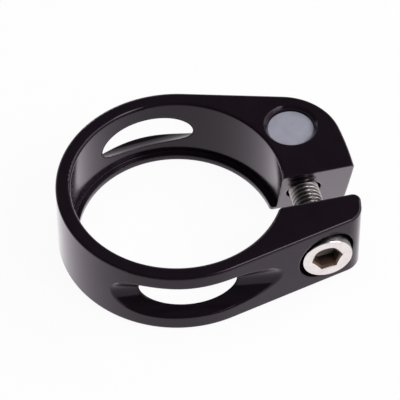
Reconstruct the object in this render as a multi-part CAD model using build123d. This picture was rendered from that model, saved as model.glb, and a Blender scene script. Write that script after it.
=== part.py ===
from build123d import *
import math
import os

# Seat tube clamp in mm. The bore axis is Z, the lug points along +X and the bolt lies along Y.
# The origin is on the bore axis, half way up, at the height of the bolt.

# Ring, with a lip at its lower end that stops the tube
TUBE_D = 34.9
WALL = 2.47
HEIGHT = 13.2
LIP_T = 1.0
LIP_W = 1.0
EDGE_ROUND = 0.45
FOOT_CHAMFER = 0.3
BORE_ROUND = 0.55

# Lug
LUG_BEYOND_BOLT = 7.98
LUG_END_R = 56.0
FAR_FLANK_DEG = 16.0
NEAR_FLANK_DEG = 13.3
FAR_CORNER_R = 10.2
NEAR_CORNER_R = 3.55

# Slit between the two ears, leaning over towards the near side
SLIT_W = 5.47
SLIT_LEAN_DEG = 19.0
SLIT_MID_Y = -3.82
SLIT_CORNER_R = 1.3
SLIT_BORE_R = 1.6
LIP_END_R = 0.6

# Side windows, each cut by one straight pass of a round tool along the ring's outside
WINDOW_D = 7.42
WINDOW_DEPTH = 4.42
FAR_WINDOW_DEG = 94.9
NEAR_WINDOW_DEG = -97.0
WINDOW_CHAMFER = 0.2

# Bolt, a 5 mm socket head screw
THREAD_D = 5.0
BOLT_LENGTH = 20.0
HEAD_D = 8.6
HEAD_H = 5.0
HEAD_CHAMFER = 0.4
TIP_CHAMFER = 0.6
HEX_AF = 4.0
HEX_DEPTH = 2.5
HEX_CHAMFER = 0.2
EAR_UNDER_HEAD = 4.3

# Barrel nut
NUT_D = 8.0
NUT_RECESS = 1.0
NUT_CHAMFER = 0.2
NUT_RIM = 0.45
NUT_FROM_SLIT = 8.8
NUT_TO_BORE = 1.35

# Clearances, all on the radius but the two at the ends of the bolt
RUN_GAP = 0.05
NEAR_HOLE_GAP = 0.25
FAR_HOLE_GAP = 0.5
HEAD_ROOM = 0.6
HEAD_GAP = 0.15
TIP_GAP = 0.5

# Sizes that follow from the ones above
bore_r = TUBE_D / 2
outer_r = bore_r + WALL
post_hole_r = bore_r - LIP_W
top_z = HEIGHT / 2
ledge_z = LIP_T - top_z
lean = math.radians(SLIT_LEAN_DEG)
near_slit_y = SLIT_MID_Y - SLIT_W / 2 / math.cos(lean)
far_slit_y = SLIT_MID_Y + SLIT_W / 2 / math.cos(lean)
nut_hole_r = NUT_D / 2 + RUN_GAP
nut_y = far_slit_y + NUT_FROM_SLIT
bolt_x = math.sqrt((bore_r + NUT_TO_BORE + nut_hole_r) ** 2 - nut_y ** 2)
lug_x = bolt_x + LUG_BEYOND_BOLT
seat_y = near_slit_y - EAR_UNDER_HEAD
under_head_y = seat_y - HEAD_GAP
face_y = under_head_y - HEAD_H
tip_y = under_head_y + BOLT_LENGTH
far_off = 2 * lug_x


def rod_y(radius, start, end):
    """A cylinder on the bolt axis from one Y to another."""
    plane = Plane(origin=(bolt_x, start, 0), x_dir=(1, 0, 0), z_dir=(0, 1, 0))
    return extrude(plane * Circle(radius), end - start)


def flank(angle_deg, side):
    """Where one flank of the lug leaves the ring, and a point on it beyond the lug's end."""
    angle = math.radians(angle_deg)
    leave = (outer_r * math.sin(angle), side * outer_r * math.cos(angle))
    beyond = (leave[0] + far_off * math.cos(angle), leave[1] - side * far_off * math.sin(angle))
    return leave, beyond


def nearest_edge(shape, point):
    """The edge of the shape nearest to a point."""
    return shape.edges().sort_by_distance(point)[0]


def outer_rim(face):
    """The edges round a top or bottom face, but for the slit's end and the far ear's slit edge."""
    z = face.center().Z
    slit_end = face.edges().sort_by_distance((0, SLIT_MID_Y - z * math.tan(lean), z))[0]
    far_edge = face.edges().sort_by_distance((bolt_x, far_slit_y - z * math.tan(lean), z))[0]
    return [edge for edge in face.edges() if edge not in (slit_end, far_edge)]


def corner_waste(radius, slit_y, low_z, high_z, corner_r):
    """What rounding takes off the corner of one slit face and a bore, worked out on a plain sleeve."""
    mid_z = (low_z + high_z) / 2
    sleeve = Pos(0, 0, mid_z) * Cylinder(lug_x, high_z - low_z)
    sleeve = sleeve - Cylinder(radius, far_off) - slit
    corner = nearest_edge(sleeve, (radius, slit_y - mid_z * math.tan(lean), mid_z))
    return sleeve - fillet(corner, corner_r)


# Collar outline: the ring's circle and a lug with two flanks and a curved end
far_leave, far_beyond = flank(FAR_FLANK_DEG, 1)
near_leave, near_beyond = flank(NEAR_FLANK_DEG, -1)
lug = make_face(Polyline((0, 0), near_leave, near_beyond, far_beyond, far_leave, close=True))
lug = lug & Pos(lug_x - LUG_END_R, 0) * Circle(LUG_END_R)
near_corner, far_corner = lug.vertices().sort_by(Axis.X)[-2:].sort_by(Axis.Y)
lug = fillet(near_corner, NEAR_CORNER_R)
lug = fillet(lug.vertices().sort_by_distance(far_corner)[0], FAR_CORNER_R)
collar = extrude(Circle(outer_r) + lug, top_z, both=True)

# Slit and the near ear's rounded corner
slit = Pos(far_off / 2, SLIT_MID_Y, 0) * Rot(SLIT_LEAN_DEG, 0, 0) * Box(far_off, SLIT_W, far_off)
collar = collar - slit
collar = fillet(nearest_edge(collar, (lug_x, near_slit_y, 0)), SLIT_CORNER_R)

# Rounded edges above and bevelled edges below, but for the far ear's slit edges
collar = fillet(outer_rim(collar.faces().sort_by(Axis.Z)[-1]), EDGE_ROUND)
collar = chamfer(outer_rim(collar.faces().sort_by(Axis.Z)[0]), FOOT_CHAMFER)

# Bore: half its section, flared out round its upper edge and turned about the axis
profile = Polyline(
    (bore_r + BORE_ROUND, top_z),
    (0, top_z),
    (0, -top_z),
    (post_hole_r, -top_z),
    (post_hole_r, ledge_z),
    (bore_r, ledge_z),
    (bore_r, top_z - BORE_ROUND),
)
flare = RadiusArc((bore_r, top_z - BORE_ROUND), (bore_r + BORE_ROUND, top_z), BORE_ROUND)
collar = collar - revolve(Plane.XZ * make_face(profile + flare), Axis.Z)

# Rounded corners where the slit meets the bore on the near ear, and both ends of the lip
collar = collar - corner_waste(bore_r, near_slit_y, ledge_z, top_z, SLIT_BORE_R)
for slit_y in (near_slit_y, far_slit_y):
    collar = collar - corner_waste(post_hole_r, slit_y, -top_z, ledge_z, LIP_END_R)

# Windows, bevelled on the outside
tool_x = outer_r - WINDOW_DEPTH + WINDOW_D / 2
tool = Pos(tool_x, 0, 0) * Rot(90, 0, 0) * Cylinder(WINDOW_D / 2, far_off)
passes = [Rot(0, 0, FAR_WINDOW_DEG) * tool, Rot(0, 0, NEAR_WINDOW_DEG) * tool]
plain = collar
collar = plain - passes
outer_edges = new_edges(plain, *passes, combined=collar).sort_by_distance((0, 0, 0))[len(passes):]
collar = chamfer(outer_edges, WINDOW_CHAMFER)

# Nut hole with its rims, the seat for the bolt head and the two bolt holes
collar = collar - Pos(bolt_x, nut_y, 0) * Cylinder(nut_hole_r, HEIGHT)
rims = [nearest_edge(collar, (bolt_x, nut_y + nut_hole_r, z)) for z in (top_z, -top_z)]
collar = chamfer(rims, NUT_RIM)
collar = collar - rod_y(HEAD_D / 2 + HEAD_ROOM, -far_off, seat_y)
collar = collar - rod_y(THREAD_D / 2 + NEAR_HOLE_GAP, seat_y, SLIT_MID_Y)
collar = collar - rod_y(THREAD_D / 2 + FAR_HOLE_GAP, SLIT_MID_Y, max(nut_y, tip_y + TIP_GAP))

# Barrel nut
nut = Cylinder(NUT_D / 2, HEIGHT - 2 * NUT_RECESS)
nut = chamfer(nut.edges().filter_by(GeomType.CIRCLE), NUT_CHAMFER)
nut = Pos(bolt_x, nut_y, 0) * nut - rod_y(THREAD_D / 2 + RUN_GAP, -far_off, far_off)

# Bolt with a plain shank and a hexagon socket
head = rod_y(HEAD_D / 2, face_y, under_head_y)
head = chamfer(head.edges().filter_by(GeomType.CIRCLE).sort_by(Axis.Y)[0], HEAD_CHAMFER)
face_plane = Plane(origin=(bolt_x, face_y, 0), x_dir=(1, 0, 0), z_dir=(0, 1, 0))
head = head - extrude(face_plane * RegularPolygon(HEX_AF / 2, 6, major_radius=False), HEX_DEPTH)
head = chamfer(head.edges().filter_by(GeomType.LINE).group_by(Axis.Y)[0], HEX_CHAMFER)
shank = rod_y(THREAD_D / 2, under_head_y, tip_y)
shank = chamfer(shank.edges().filter_by(GeomType.CIRCLE).sort_by(Axis.Y)[-1], TIP_CHAMFER)
bolt = head + shank

os.makedirs("parts", exist_ok=True)
export_step(collar, "parts/collar.step")
export_step(nut, "parts/barrel_nut.step")
export_step(bolt, "parts/bolt.step")
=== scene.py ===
import math

import bpy
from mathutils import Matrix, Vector


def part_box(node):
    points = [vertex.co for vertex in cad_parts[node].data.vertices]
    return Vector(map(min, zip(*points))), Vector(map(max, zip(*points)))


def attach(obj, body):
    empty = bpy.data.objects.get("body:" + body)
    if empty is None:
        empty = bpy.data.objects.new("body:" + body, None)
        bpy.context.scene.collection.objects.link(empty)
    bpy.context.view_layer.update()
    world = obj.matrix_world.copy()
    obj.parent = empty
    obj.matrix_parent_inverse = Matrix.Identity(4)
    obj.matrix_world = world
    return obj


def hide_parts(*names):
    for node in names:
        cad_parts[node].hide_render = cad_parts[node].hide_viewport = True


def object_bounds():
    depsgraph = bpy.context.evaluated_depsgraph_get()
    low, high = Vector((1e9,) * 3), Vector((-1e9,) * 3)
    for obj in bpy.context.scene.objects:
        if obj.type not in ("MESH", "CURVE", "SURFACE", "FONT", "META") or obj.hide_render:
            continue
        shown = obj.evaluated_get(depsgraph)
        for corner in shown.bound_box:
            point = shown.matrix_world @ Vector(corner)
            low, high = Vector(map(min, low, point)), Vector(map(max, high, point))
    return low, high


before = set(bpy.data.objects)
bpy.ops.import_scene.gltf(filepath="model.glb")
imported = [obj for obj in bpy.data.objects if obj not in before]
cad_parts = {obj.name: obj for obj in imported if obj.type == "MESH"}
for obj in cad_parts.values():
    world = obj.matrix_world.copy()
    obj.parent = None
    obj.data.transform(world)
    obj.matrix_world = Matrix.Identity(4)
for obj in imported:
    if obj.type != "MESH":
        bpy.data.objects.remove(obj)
cad_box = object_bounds()

# Camera, fitted to the photograph, in metres and degrees
TARGET = Vector((0.005474, 0.006272, -0.0066))
DISTANCE = 0.50834
AZIMUTH = -13.83
ELEVATION = 50.355
LENS_MM = 270.87
SENSOR_MM = 36.0
CLIP_START = 0.01

# Bolt, in metres and degrees: a 5 mm coarse thread and a socket for a 4 mm key
COLUMNS = 144
SHARP_EDGE = 35.0
THREAD_PITCH = 0.0008
THREAD_RADIUS = 0.0025
THREAD_DEPTH = 0.00046
ROWS_PER_TURN = 12
TIP_TAPER = 0.0006
HEAD_HEIGHT = 0.005
HEAD_ROUND = 0.0002
HEAD_ROUND_STEPS = 5
HEAD_FOOT = 0.0003
KNURL_RIDGES = 72
KNURL_DEPTH = 0.0001
KNURL_START = 0.0005
SOCKET_SIDES = 6
SOCKET_FLAT = 0.002
SOCKET_DEPTH = 0.0025
SOCKET_BEVEL = 0.0003
SOCKET_LEAD = 0.0005
SOCKET_MOUTH = 0.0028
SOCKET_DISH = 0.47
SOCKET_TURN = 7.5
SOCKET_CONE = 0.0006
SOCKET_CENTRE = 0.0001

# Finishes: each pair is the low and the high end of a variation, which runs over this part of its source
VARY = (0.3, 0.7)
NOISE_DETAIL = 3.0
MARKS_WAVER = 1.5

# Black anodising: spots and grain are in features a metre, heights and radii in metres
BLACK = ((0.0155, 0.0098, 0.0157), (0.0190, 0.0124, 0.0192))
BLACK_ROUGHNESS = (0.13, 0.17)
BLACK_METALLIC = 0.5
BLACK_IOR = 1.21
BLACK_TINT = (1.0, 0.85, 1.0, 1.0)
BLACK_COAT = 1.0
BLACK_SPOTS = 260.0
BLACK_GRAIN = 9000.0
BLACK_GRAIN_HEIGHT = 0.000001
BLACK_SOFT_EDGE = 0.0005
SOFT_SAMPLES = 16

# Steel of the bolt: its face, knurled side, thread and socket. The knurled side, the thread's roots and
# the socket's walls carry painted shade, and the socket's floor carries painted light
STEEL = ((0.78, 0.722, 0.717), (0.88, 0.815, 0.809))
STEEL_ROUGHNESS = (0.22, 0.28)
STEEL_METALLIC = 1.0
STEEL_SPOTS = 900.0
STEEL_MARKS = 2500.0
STEEL_MARKS_HEIGHT = 0.000002
# Painted shade: the knurled side takes a darker copy of the bolt's steel
KNURL_SHADED = ((0.16, 0.15, 0.146), (0.32, 0.30, 0.295))
KNURL_ROUGHNESS = (0.25, 0.35)
# Painted shade: the thread's roots darker than its crests
THREAD_SHADED = ((0.060, 0.046, 0.042), (0.58, 0.53, 0.535))
THREAD_ROUGHNESS = (0.30, 0.38)
# Painted shade: the socket's walls darken towards its floor
SOCKET_SHADED = ((0.012, 0.006, 0.004), (0.135, 0.072, 0.043))
# Painted light: the socket's floor paler than its walls
SOCKET_FLOOR_LIT = ((0.42, 0.37, 0.35), (0.52, 0.46, 0.44))
SOCKET_ROUGHNESS = (0.3, 0.4)

# Grey aluminium of the nut
GREY = ((0.37, 0.365, 0.45), (0.43, 0.425, 0.51))
GREY_ROUGHNESS = (0.5, 0.6)
GREY_METALLIC = 0.3
GREY_SPOTS = 700.0
GREY_MARKS = 1500.0
GREY_MARKS_HEIGHT = 0.000001

# Stage, in metres: the floor is at 0, and each kind of ray meets white by its own share
WHITE = (1.0, 1.0, 1.0, 1.0)
STAGE_COLOUR = (0.92, 0.92, 0.92, 1.0)
STAGE_ROUGHNESS = 0.9
FLOOR = ((-3.0, -3.0, 0.0), (3.0, -3.0, 0.0), (3.0, 3.0, 0.0), (-3.0, 3.0, 0.0))
BACK_WALL = ((-3.0, 3.0, 0.0), (1.0, 3.0, 0.0), (1.0, 3.0, 2.0), (-3.0, 3.0, 2.0))
RIGHT_WALL = ((1.0, 3.0, 0.0), (1.0, -1.7, 0.0), (1.0, -1.7, 0.6), (1.0, 3.0, 0.6))
STAGE_WHITE = {"Is Camera Ray": 0.94, "Is Transmission Ray": 0.94, "Is Glossy Ray": 1.0}
SURROUND_WHITE = {"Is Camera Ray": 1.0, "Is Transmission Ray": 1.0, "Is Glossy Ray": 0.05}
SURROUND = 0.03

# Lamps: place, width and depth in metres, watts, and whether gloss mirrors the lamp
LAMP_ABOVE = ((-0.1, 0.1, 0.7), 0.6, 0.6, 2.0, False)
LAMP_RIGHT = ((0.476, -0.084, 0.435), 1.1, 0.3, 3.0, True)
LAMP_EDGE = ((0.27, -0.26, 0.53), 0.2, 0.2, 1.0, True)

# Places along the bolt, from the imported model
bolt_low, bolt_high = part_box("bolt")
bolt_middle = (bolt_low + bolt_high) / 2
head_radius = (bolt_high.x - bolt_low.x) / 2
face_y = bolt_low.y
tip_y = bolt_high.y
under_head_y = face_y + HEAD_HEIGHT


def at_angle(value, angle):
    """A number as it is, or a function's value at an angle."""
    return value(angle) if callable(value) else value


def ring(place, radius):
    """One ring of points round the bolt's axis. Place and radius are numbers or functions of the angle."""
    points = []
    for column in range(COLUMNS):
        angle = 2 * math.pi * column / COLUMNS
        reach = at_angle(radius, angle)
        x = bolt_middle.x + reach * math.cos(angle)
        z = bolt_middle.z + reach * math.sin(angle)
        points.append((x, at_angle(place, angle), z))
    return points


def hexagon(flat):
    """Distance from the axis to a hexagon with that much to each flat, as a function of the angle."""
    sixth = 2 * math.pi / SOCKET_SIDES
    turn = math.radians(SOCKET_TURN)
    return lambda angle: flat / math.cos((angle - turn) % sixth - sixth / 2)


def dip(phase):
    """A smooth wave that goes from 0 to 1 and back in each turn of its phase, in radians."""
    return 0.5 - 0.5 * math.cos(phase)


def knurl(angle):
    """Radius of the head's side, with straight ridges all round."""
    return head_radius - KNURL_DEPTH * dip(KNURL_RIDGES * angle)


def thread(y):
    """Radius of the thread at one place along the bolt, as a function of the angle."""
    taper = max(0.0, y + TIP_TAPER - tip_y)
    turns = (y - face_y) / THREAD_PITCH
    return lambda angle: THREAD_RADIUS - THREAD_DEPTH * dip(2 * math.pi * turns - angle) - taper


def socket_rings():
    """Rings from the middle of the socket's floor up to its dished mouth."""
    floor_y = face_y + SOCKET_DEPTH
    wall = hexagon(SOCKET_FLAT)
    edge = hexagon(SOCKET_FLAT + SOCKET_BEVEL)
    return [
        ring(floor_y + SOCKET_CONE, SOCKET_CENTRE),
        ring(floor_y, wall),
        ring(face_y + SOCKET_LEAD, wall),
        ring(lambda angle: face_y + SOCKET_DISH * (SOCKET_MOUTH - edge(angle)), edge),
    ]


def head_rings():
    """Rings from the socket's mouth over the face, and down the knurled side to the shank."""
    rings = [ring(face_y, SOCKET_MOUTH)]
    for step in range(HEAD_ROUND_STEPS + 1):
        turn = math.pi / 2 * step / HEAD_ROUND_STEPS
        reach = head_radius - KNURL_DEPTH - HEAD_ROUND * (1 - math.sin(turn))
        rings.append(ring(face_y + HEAD_ROUND * (1 - math.cos(turn)), reach))
    rings.append(ring(face_y + KNURL_START, knurl))
    rings.append(ring(under_head_y - HEAD_FOOT, knurl))
    rings.append(ring(under_head_y, head_radius - HEAD_FOOT))
    return rings


def thread_rings():
    """Rings of the threaded shank, from under the head to its tip."""
    rows = round((tip_y - under_head_y) / THREAD_PITCH * ROWS_PER_TURN)
    places = [under_head_y + (tip_y - under_head_y) * row / rows for row in range(rows + 1)]
    return [ring(y, thread(y)) for y in places]


def add_mesh(name, points, faces):
    """A mesh object in the scene."""
    mesh = bpy.data.meshes.new(name)
    mesh.from_pydata(points, [], faces)
    piece = bpy.data.objects.new(name, mesh)
    bpy.context.scene.collection.objects.link(piece)
    return piece


def skin(name, rings):
    """A mesh object through the rings, closed at both ends. Its first face closes the first ring."""
    points = [point for points in rings for point in points]
    faces = [tuple(range(COLUMNS))[::-1]]
    for row in range(len(rings) - 1):
        for column in range(COLUMNS):
            near = row * COLUMNS + column
            following = row * COLUMNS + (column + 1) % COLUMNS
            faces.append((near, following, following + COLUMNS, near + COLUMNS))
    faces.append(tuple(range(len(points) - COLUMNS, len(points))))
    return add_mesh(name, points, faces)


def shade_by_angle(piece, limit_deg):
    """Smooth shading, with edges sharper than the limit left sharp."""
    with bpy.context.temp_override(object=piece, active_object=piece, selected_editable_objects=[piece]):
        bpy.ops.object.shade_smooth_by_angle(angle=math.radians(limit_deg))


def new_material(name):
    """A material, its nodes and its shader."""
    material = bpy.data.materials.new(name)
    material.use_nodes = True
    return material, material.node_tree, material.node_tree.nodes["Principled BSDF"]


def object_place(tree):
    """The object's own coordinates, in metres."""
    return tree.nodes.new("ShaderNodeTexCoord").outputs["Object"]


def noise(tree, scale):
    """Noise over the object's own coordinates. Its scale is in features a metre."""
    node = tree.nodes.new("ShaderNodeTexNoise")
    node.inputs["Scale"].default_value = scale
    node.inputs["Detail"].default_value = NOISE_DETAIL
    tree.links.new(object_place(tree), node.inputs["Vector"])
    return node.outputs["Fac"]


def spread(tree, source, ends, new_ends):
    """A source that runs between two ends, made to run between two others."""
    node = tree.nodes.new("ShaderNodeMapRange")
    for name, value in zip(("From Min", "From Max", "To Min", "To Max"), (*ends, *new_ends)):
        node.inputs[name].default_value = value
    tree.links.new(source, node.inputs["Value"])
    return node.outputs["Result"]


def vary(tree, shader, source, colours, roughness):
    """Colour and roughness that go from low to high over the set part of the source."""
    ramp = tree.nodes.new("ShaderNodeValToRGB")
    for element, position, colour in zip(ramp.color_ramp.elements, VARY, colours):
        element.position = position
        element.color = (*colour, 1)
    tree.links.new(source, ramp.inputs["Fac"])
    tree.links.new(ramp.outputs["Color"], shader.inputs["Base Color"])
    tree.links.new(spread(tree, source, VARY, roughness), shader.inputs["Roughness"])


def bump(tree, shader, source, height):
    """A bump of that height in metres. Gives its node."""
    node = tree.nodes.new("ShaderNodeBump")
    node.inputs["Distance"].default_value = height
    tree.links.new(source, node.inputs["Height"])
    tree.links.new(node.outputs["Normal"], shader.inputs["Normal"])
    return node


def soften_edges(tree, bumped, radius):
    """Makes the edges under a bump look rounded, by a radius in metres."""
    node = tree.nodes.new("ShaderNodeBevel")
    node.samples = SOFT_SAMPLES
    node.inputs["Radius"].default_value = radius
    tree.links.new(node.outputs["Normal"], bumped.inputs["Normal"])


def turning_marks(tree, axis, centre, rings_per_metre):
    """Fine rings round an axis through a point, as a lathe leaves them."""
    shift = tree.nodes.new("ShaderNodeMapping")
    shift.inputs["Location"].default_value = -centre
    rings = tree.nodes.new("ShaderNodeTexWave")
    rings.wave_type = "RINGS"
    rings.rings_direction = axis
    rings.inputs["Scale"].default_value = rings_per_metre
    rings.inputs["Distortion"].default_value = MARKS_WAVER
    tree.links.new(object_place(tree), shift.inputs["Vector"])
    tree.links.new(shift.outputs["Vector"], rings.inputs["Vector"])
    return rings.outputs["Fac"]


def thread_height(tree):
    """Rises over the varied part of a source from the thread's root to its crest."""
    across = tree.nodes.new("ShaderNodeMapping")
    across.inputs["Location"].default_value = (-bolt_middle.x, 0, -bolt_middle.z)
    across.inputs["Scale"].default_value = (1, 0, 1)
    reach = tree.nodes.new("ShaderNodeVectorMath")
    reach.operation = "LENGTH"
    tree.links.new(object_place(tree), across.inputs["Vector"])
    tree.links.new(across.outputs["Vector"], reach.inputs[0])
    return spread(tree, reach.outputs["Value"], (THREAD_RADIUS - THREAD_DEPTH, THREAD_RADIUS), VARY)


def socket_height(tree):
    """Rises over the varied part of a source from the socket's floor to its mouth."""
    split = tree.nodes.new("ShaderNodeSeparateXYZ")
    tree.links.new(object_place(tree), split.inputs["Vector"])
    return spread(tree, split.outputs["Y"], (face_y + SOCKET_DEPTH, face_y), VARY)


def black_anodising():
    """Black anodised aluminium with a sealed, glossy skin."""
    material, tree, shader = new_material("black_anodising")
    vary(tree, shader, noise(tree, BLACK_SPOTS), BLACK, BLACK_ROUGHNESS)
    shader.inputs["Metallic"].default_value = BLACK_METALLIC
    shader.inputs["IOR"].default_value = BLACK_IOR
    shader.inputs["Specular Tint"].default_value = BLACK_TINT
    shader.inputs["Coat Weight"].default_value = BLACK_COAT
    shader.inputs["Coat IOR"].default_value = BLACK_IOR
    shader.inputs["Coat Roughness"].default_value = BLACK_ROUGHNESS[0]
    grain = bump(tree, shader, noise(tree, BLACK_GRAIN), BLACK_GRAIN_HEIGHT)
    soften_edges(tree, grain, BLACK_SOFT_EDGE)
    return material


def turned_steel(name, colours, roughness):
    """Steel with turning marks."""
    material, tree, shader = new_material(name)
    vary(tree, shader, noise(tree, STEEL_SPOTS), colours, roughness)
    shader.inputs["Metallic"].default_value = STEEL_METALLIC
    bump(tree, shader, turning_marks(tree, "Y", bolt_middle, STEEL_MARKS), STEEL_MARKS_HEIGHT)
    return material


def root_shaded_thread_steel():
    """Steel that runs from bright at its thread's crests to painted shade, dark and brownish, in its
    roots.
    """
    material, tree, shader = new_material("root_shaded_thread_steel")
    vary(tree, shader, thread_height(tree), THREAD_SHADED, THREAD_ROUGHNESS)
    shader.inputs["Metallic"].default_value = STEEL_METALLIC
    return material


def shaded_brown_steel():
    """Brown steel on the socket's walls, with painted shade that darkens it towards the socket's floor."""
    material, tree, shader = new_material("shaded_brown_steel")
    vary(tree, shader, socket_height(tree), SOCKET_SHADED, SOCKET_ROUGHNESS)
    return material


def painted_light_steel():
    """Steel on the socket's floor, made pale as painted light where light falls into the socket."""
    material, tree, shader = new_material("painted_light_steel")
    vary(tree, shader, noise(tree, STEEL_SPOTS), SOCKET_FLOOR_LIT, SOCKET_ROUGHNESS)
    return material


def grey_aluminium():
    """Matt grey aluminium with faint turning marks on its ends."""
    material, tree, shader = new_material("grey_aluminium")
    low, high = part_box("barrel_nut")
    vary(tree, shader, noise(tree, GREY_SPOTS), GREY, GREY_ROUGHNESS)
    shader.inputs["Metallic"].default_value = GREY_METALLIC
    bump(tree, shader, turning_marks(tree, "Z", (low + high) / 2, GREY_MARKS), GREY_MARKS_HEIGHT)
    return material


def paint(piece, *materials):
    """Gives a piece its materials."""
    piece.data.materials.clear()
    for material in materials:
        piece.data.materials.append(material)


def make_bolt():
    """The detailed bolt, in place of the plain one."""
    socket = socket_rings()
    head = head_rings()
    bolt = skin("threaded_bolt", socket + head + thread_rings())
    shade_by_angle(bolt, SHARP_EDGE)
    bright = turned_steel("bright_steel", STEEL, STEEL_ROUGHNESS)
    # The knurled side gets a darker copy of the steel, as painted shade
    knurled = turned_steel("shaded_knurled_steel", KNURL_SHADED, KNURL_ROUGHNESS)
    paint(bolt, painted_light_steel(), shaded_brown_steel(), bright, knurled, root_shaded_thread_steel())
    # Rows of faces where the walls, the bright face, the knurled side and the thread start
    first_rows = (1, len(socket) - 1, len(socket) + HEAD_ROUND_STEPS + 1, len(socket) + len(head))
    starts = [1 + COLUMNS * row for row in first_rows]
    for number, face in enumerate(bolt.data.polygons):
        face.material_index = sum(number >= start for start in starts)
    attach(bolt, "bolt")
    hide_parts("bolt")


def mix_by_ray(tree, shares, usual, white, output):
    """Joins a usual shader and a white one, which each kind of ray meets by its own share."""
    path = tree.nodes.new("ShaderNodeLightPath")
    mix = tree.nodes.new("ShaderNodeMixShader")
    total = None
    for ray, share in shares.items():
        term = tree.nodes.new("ShaderNodeMath")
        term.operation = "MULTIPLY_ADD"
        term.inputs[1].default_value = share
        term.inputs[2].default_value = 0.0
        tree.links.new(path.outputs[ray], term.inputs[0])
        if total is not None:
            tree.links.new(total, term.inputs[2])
        total = term.outputs["Value"]
    tree.links.new(total, mix.inputs["Fac"])
    tree.links.new(usual, mix.inputs[1])
    tree.links.new(white, mix.inputs[2])
    tree.links.new(mix.outputs["Shader"], output.inputs["Surface"])


def make_stage():
    """A white floor and walls that keep a faint shadow of the object."""
    points = []
    faces = []
    for side in (FLOOR, BACK_WALL, RIGHT_WALL):
        faces.append(tuple(range(len(points), len(points) + len(side))))
        points += [(x, y, cad_box[0].z + z) for x, y, z in side]
    stage = add_mesh("stage", points, faces)
    material, tree, shader = new_material("white_stage")
    shader.inputs["Base Color"].default_value = STAGE_COLOUR
    shader.inputs["Roughness"].default_value = STAGE_ROUGHNESS
    shader.inputs["Specular IOR Level"].default_value = 0.0
    white = tree.nodes.new("ShaderNodeEmission").outputs["Emission"]
    mix_by_ray(tree, STAGE_WHITE, shader.outputs["BSDF"], white, tree.nodes["Material Output"])
    paint(stage, material)


def make_world():
    """A dim surround that looks white."""
    world = bpy.data.worlds.new("surround")
    bpy.context.scene.world = world
    world.use_nodes = True
    tree = world.node_tree
    dim = tree.nodes["Background"]
    dim.inputs["Color"].default_value = WHITE
    dim.inputs["Strength"].default_value = SURROUND
    full = tree.nodes.new("ShaderNodeBackground")
    full.inputs["Color"].default_value = WHITE
    usual = dim.outputs["Background"]
    white = full.outputs["Background"]
    mix_by_ray(tree, SURROUND_WHITE, usual, white, tree.nodes["World Output"])


def make_lamp(name, place, width, depth, watts, mirrored):
    """A soft lamp that faces the object, and shows in its gloss or not."""
    data = bpy.data.lights.new(name, "AREA")
    data.shape = "RECTANGLE"
    data.size = width
    data.size_y = depth
    data.energy = watts
    lamp = bpy.data.objects.new(name, data)
    lamp.location = place
    lamp.visible_glossy = mirrored
    lamp.rotation_euler = (-Vector(place)).to_track_quat("-Z", "Y").to_euler()
    bpy.context.scene.collection.objects.link(lamp)


def make_camera():
    """The camera of the photograph."""
    azimuth = math.radians(AZIMUTH)
    elevation = math.radians(ELEVATION)
    level = math.cos(elevation)
    back = Vector((math.sin(azimuth) * level, -math.cos(azimuth) * level, math.sin(elevation)))
    data = bpy.data.cameras.new("camera")
    data.lens = LENS_MM
    data.sensor_width = SENSOR_MM
    data.clip_start = CLIP_START
    camera = bpy.data.objects.new("camera", data)
    camera.location = TARGET + back * DISTANCE
    camera.rotation_euler = (-back).to_track_quat("-Z", "Y").to_euler()
    bpy.context.scene.collection.objects.link(camera)
    bpy.context.scene.camera = camera


paint(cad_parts["collar"], black_anodising())
paint(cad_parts["barrel_nut"], grey_aluminium())
make_bolt()
make_stage()
make_world()
make_lamp("lamp_above", *LAMP_ABOVE)
make_lamp("lamp_right", *LAMP_RIGHT)
make_lamp("lamp_edge", *LAMP_EDGE)
make_camera()
bpy.context.scene.view_settings.view_transform = "Standard"
